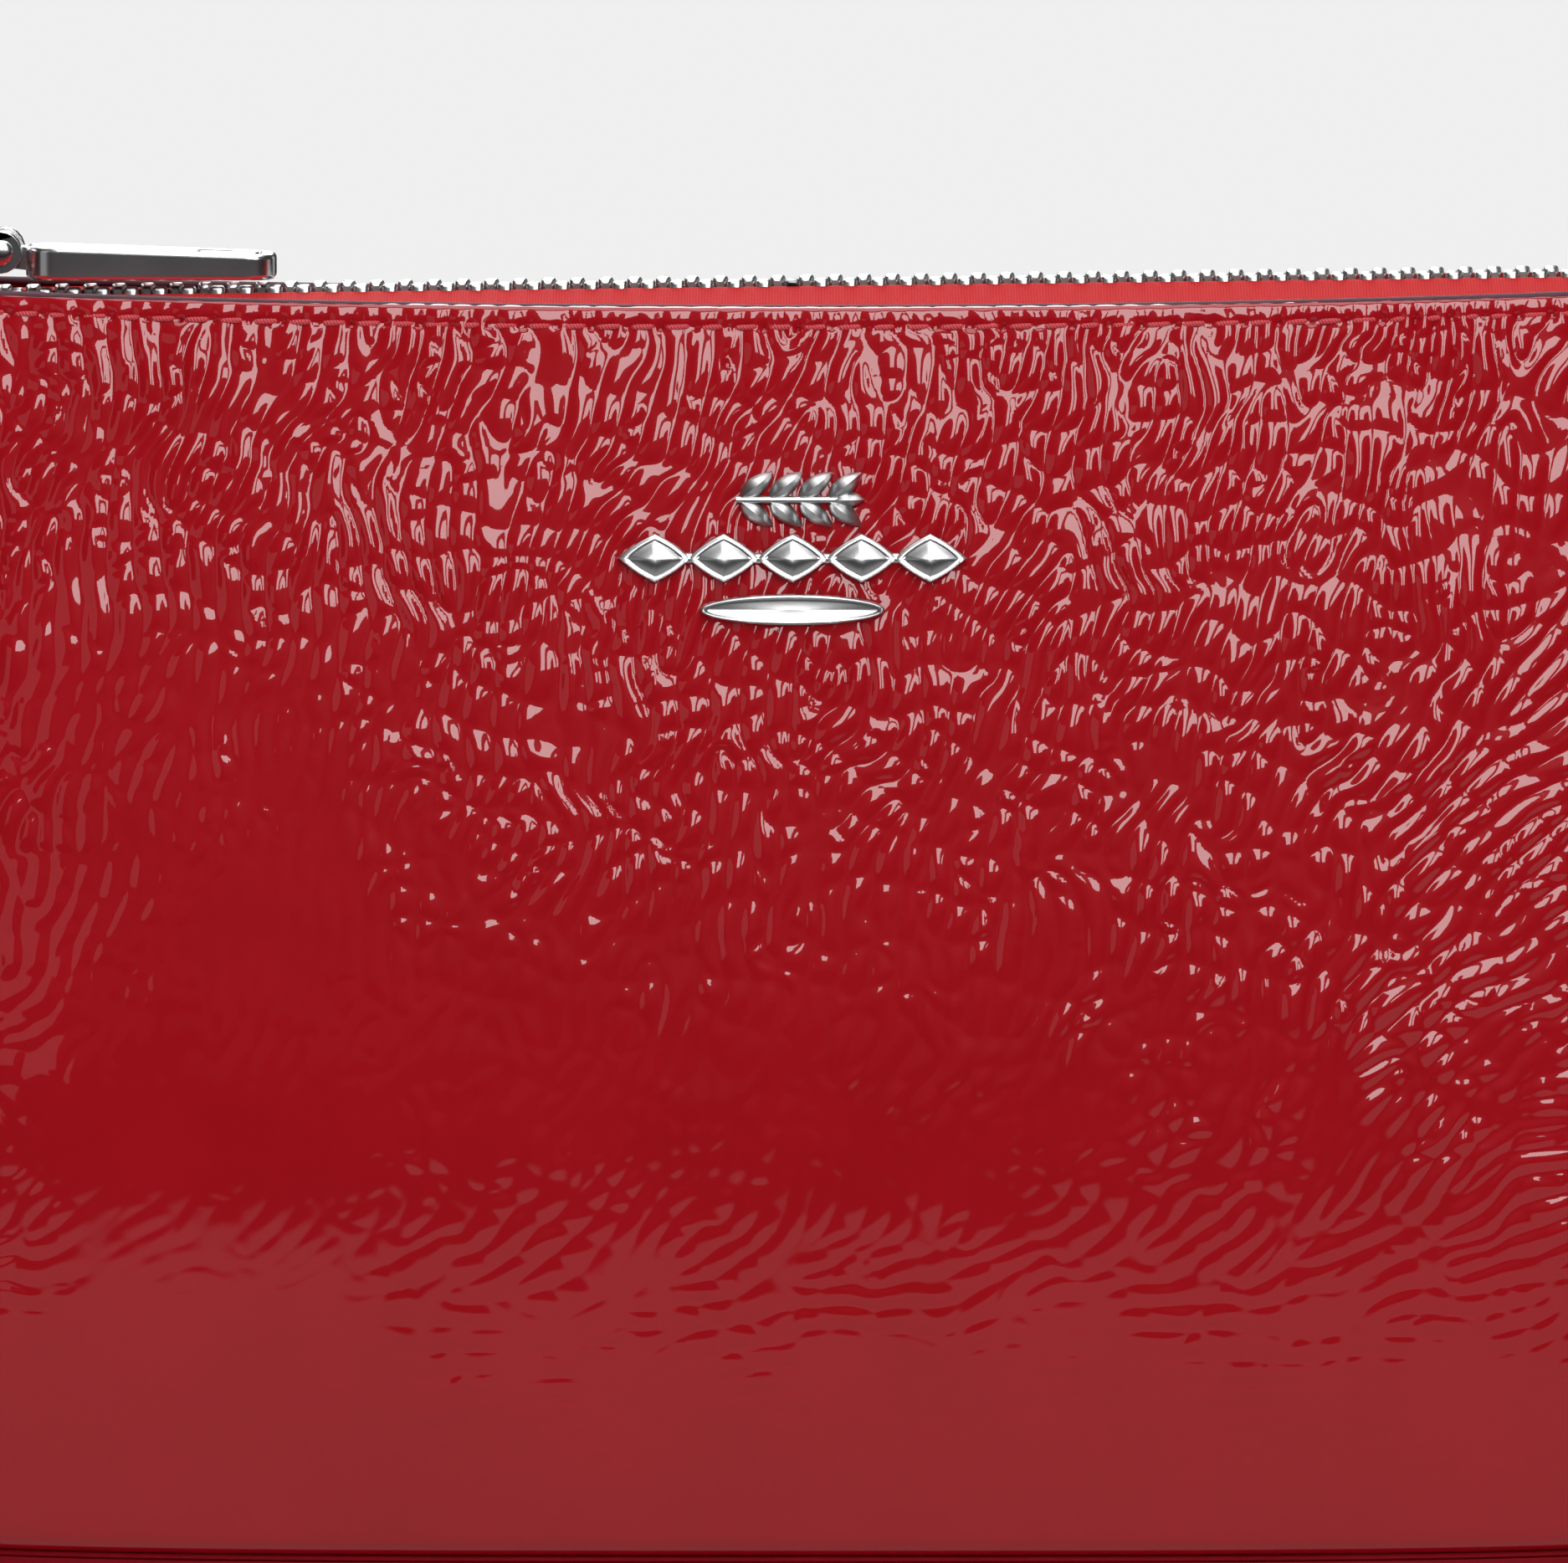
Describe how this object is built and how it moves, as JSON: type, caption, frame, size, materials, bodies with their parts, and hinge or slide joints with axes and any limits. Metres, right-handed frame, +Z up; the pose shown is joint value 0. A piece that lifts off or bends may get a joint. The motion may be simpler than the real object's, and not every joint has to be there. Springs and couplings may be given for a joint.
{
  "type": "zip-top leather pouch",
  "caption": "Small soft pouch of crinkled patent leather with a flat base, a metal zip along the mouth, a hinged bar pull and a three-piece metal emblem.",
  "frame": {"origin": "centre of the flat base, on the surface the pouch stands on", "axes": "+X along the zip towards its closed-off end, +Y from the emblem side to the back, +Z up"},
  "size_m": [0.16, 0.04, 0.1069],
  "materials": {
    "patent_leather": "glossy crinkled patent",
    "base_leather": "semi-gloss",
    "lining": "matte twill",
    "interlining": "matte felt",
    "board": "matte fibreboard",
    "inner_leather": "satin",
    "zip_tape": "matte woven",
    "zip_metal": "polished nickel",
    "trim_metal": "mirror polish",
    "backing_metal": "plain"
  },
  "bodies": {
    "root": {"front_panel": "patent_leather", "back_panel": "patent_leather", "base_panel": "base_leather", "base_stiffener": "board", "base_lining": "lining", "front_interlining": "interlining", "back_interlining": "interlining", "front_lining": "lining", "back_lining": "lining", "front_tape_strip": "zip_tape", "back_tape_strip": "zip_tape", "left_seam_tape": "lining", "right_seam_tape": "lining", "slip_pocket": "lining", "slip_pocket_binding": "inner_leather", "inner_patch": "inner_leather", "card_pocket_lower": "lining", "card_pocket_upper": "lining", "emblem_backing": "backing_metal", "emblem_sprig": "trim_metal", "emblem_bar": "trim_metal", "emblem_plate": "trim_metal", "left_tape_end": "zip_tape", "right_tape_end": "zip_tape", "front_chain_end": "zip_metal", "back_chain_end": "zip_metal", "top_stop": "zip_metal", "bottom_stop": "zip_metal"},
    "front_row": {"front_tape": "zip_tape", "front_teeth": "zip_metal"},
    "back_row": {"back_tape": "zip_tape", "back_teeth": "zip_metal"},
    "slider": {"slider_body": "trim_metal", "slider_bridge": "trim_metal"},
    "link": {"pull_link": "trim_metal", "pull_pin": "trim_metal"},
    "tab": {"pull_tab": "trim_metal"}
  },
  "joints": [
    {"name": "zip_slide", "type": "slide", "parent": "root", "child": "slider", "axis": [0.9999, 0, 0.0122], "range_m": [0, 0.127]},
    {"name": "front_row_open", "type": "hinge", "parent": "root", "child": "front_row", "pos_m": [0, -0.0089, 0.1007], "axis": [0.9999, 0, 0.0122], "range_deg": [0, 72], "deforming": ["front_tape", "front_teeth"]},
    {"name": "back_row_open", "type": "hinge", "parent": "root", "child": "back_row", "pos_m": [0, 0.0089, 0.1007], "axis": [-0.9999, 0, -0.0122], "range_deg": [0, 72], "deforming": ["back_tape", "back_teeth"]},
    {"name": "link_lift", "type": "hinge", "parent": "slider", "child": "link", "pos_m": [-0.07063, 0, 0.10429], "axis": [0, -1, 0], "range_deg": [0, 130]},
    {"name": "tab_lift", "type": "hinge", "parent": "link", "child": "tab", "pos_m": [-0.06334, 0, 0.10523], "axis": [0, -1, 0], "range_deg": [0, 50]}
  ],
  "couplings": [
    {"joint": "front_row_open", "follows": "zip_slide", "rad_per_m": 9.615},
    {"joint": "back_row_open", "follows": "zip_slide", "rad_per_m": 9.615}
  ]
}
